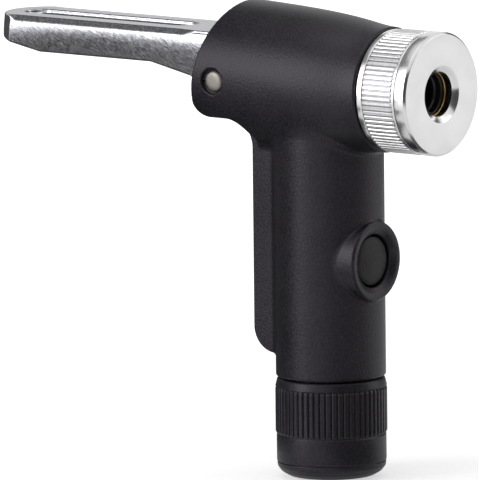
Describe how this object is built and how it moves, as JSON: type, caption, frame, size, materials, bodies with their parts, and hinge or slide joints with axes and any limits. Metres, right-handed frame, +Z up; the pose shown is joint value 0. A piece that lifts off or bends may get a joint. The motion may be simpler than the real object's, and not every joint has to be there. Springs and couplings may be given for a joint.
{
  "type": "lever-lock inflator head",
  "caption": "Pistol-shaped tyre valve head with a cam lever, a screwed valve ring, a bleed button and a knurled hose collar.",
  "frame": {"origin": "centre of the hose hole at the lower face of the end ring, on the grip's axis", "axes": "+Z up the grip, +X along the barrel towards the valve mouth, +Y completes a right-handed frame along the lever pin"},
  "size_m": [0.105, 0.0282, 0.0919],
  "materials": {
    "housing": "moulded black glass-filled nylon, fine satin texture",
    "valve_ring": "bright machined and anodised aluminium, knurled",
    "ring_washer": "thin stamped brass washer",
    "valve_seal": "black valve rubber",
    "seal_retainer": "turned brass",
    "plunger": "off-white acetal",
    "piston_oring": "black nitrile",
    "guide_oring": "black nitrile",
    "thrust_plate": "hardened steel disc",
    "shuttle": "dark acetal",
    "shuttle_oring": "black nitrile",
    "shuttle_spring": "stainless spring wire",
    "lever": "die-cast and tumbled aluminium, satin top, polished side",
    "lever_pin": "plain steel pin",
    "button": "moulded black plastic",
    "bleed_stem": "turned brass",
    "bleed_oring": "black nitrile",
    "button_spring": "stainless spring wire",
    "bleed_seat": "turned brass",
    "hose_barb": "turned brass",
    "barb_oring": "black nitrile",
    "barb_gasket": "black nitrile sheet",
    "clamp_sleeve": "dark grey acetal",
    "collar": "moulded black plastic, knurled",
    "end_ring": "moulded black plastic"
  },
  "bodies": {
    "housing": {"housing": "housing", "lever_pin": "lever_pin", "bleed_seat": "bleed_seat", "button_spring": "button_spring", "hose_barb": "hose_barb", "barb_oring": "barb_oring", "barb_gasket": "barb_gasket"},
    "lever": {"lever": "lever"},
    "plunger": {"plunger": "plunger", "piston_oring": "piston_oring", "guide_oring": "guide_oring", "thrust_plate": "thrust_plate", "seal_retainer": "seal_retainer", "shuttle_spring": "shuttle_spring"},
    "shuttle": {"shuttle": "shuttle", "shuttle_oring": "shuttle_oring"},
    "button": {"button": "button", "bleed_stem": "bleed_stem", "bleed_oring": "bleed_oring"},
    "seal carrier": {"ring_washer": "ring_washer", "valve_seal": "valve_seal"},
    "valve ring": {"valve_ring": "valve_ring"},
    "clamp": {"clamp_sleeve": "clamp_sleeve"},
    "collar": {"collar": "collar", "end_ring": "end_ring"}
  },
  "joints": [
    {"name": "lever_hinge", "type": "hinge", "parent": "housing", "child": "lever", "pos_m": [-0.0178, 0, 0.0773], "axis": [0, -1, 0], "range_deg": [0, 90]},
    {"name": "plunger_slide", "type": "slide", "parent": "housing", "child": "plunger", "axis": [1, 0, 0], "range_m": [-0.00236, 0]},
    {"name": "shuttle_slide", "type": "slide", "parent": "plunger", "child": "shuttle", "axis": [1, 0, 0], "range_m": [-0.003, 0], "stiffness_N_per_m": 300, "springref_m": 0.001, "deforming": ["shuttle_spring"]},
    {"name": "button_slide", "type": "slide", "parent": "housing", "child": "button", "axis": [1, 0, 0], "range_m": [-0.0018, 0], "stiffness_N_per_m": 500, "springref_m": 0.001, "deforming": ["button_spring"]},
    {"name": "seal_slide", "type": "slide", "parent": "housing", "child": "seal carrier", "axis": [1, 0, 0], "range_m": [0, 0.0045]},
    {"name": "ring_screw", "type": "hinge", "parent": "seal carrier", "child": "valve ring", "pos_m": [0.02, 0, 0.0765], "axis": [1, 0, 0], "range_deg": [0, 1080]},
    {"name": "clamp_slide", "type": "slide", "parent": "housing", "child": "clamp", "axis": [0, 0, -1], "range_m": [0, 0.0045]},
    {"name": "collar_screw", "type": "hinge", "parent": "clamp", "child": "collar", "pos_m": [0, 0, 0.01], "axis": [0, 0, -1], "range_deg": [0, 1080]}
  ],
  "couplings": [
    {"joint": "plunger_slide", "follows": "lever_hinge", "m_per_rad": -0.0015024},
    {"joint": "ring_screw", "follows": "seal_slide", "rad_per_m": 4188.8},
    {"joint": "collar_screw", "follows": "clamp_slide", "rad_per_m": 4188.8}
  ]
}
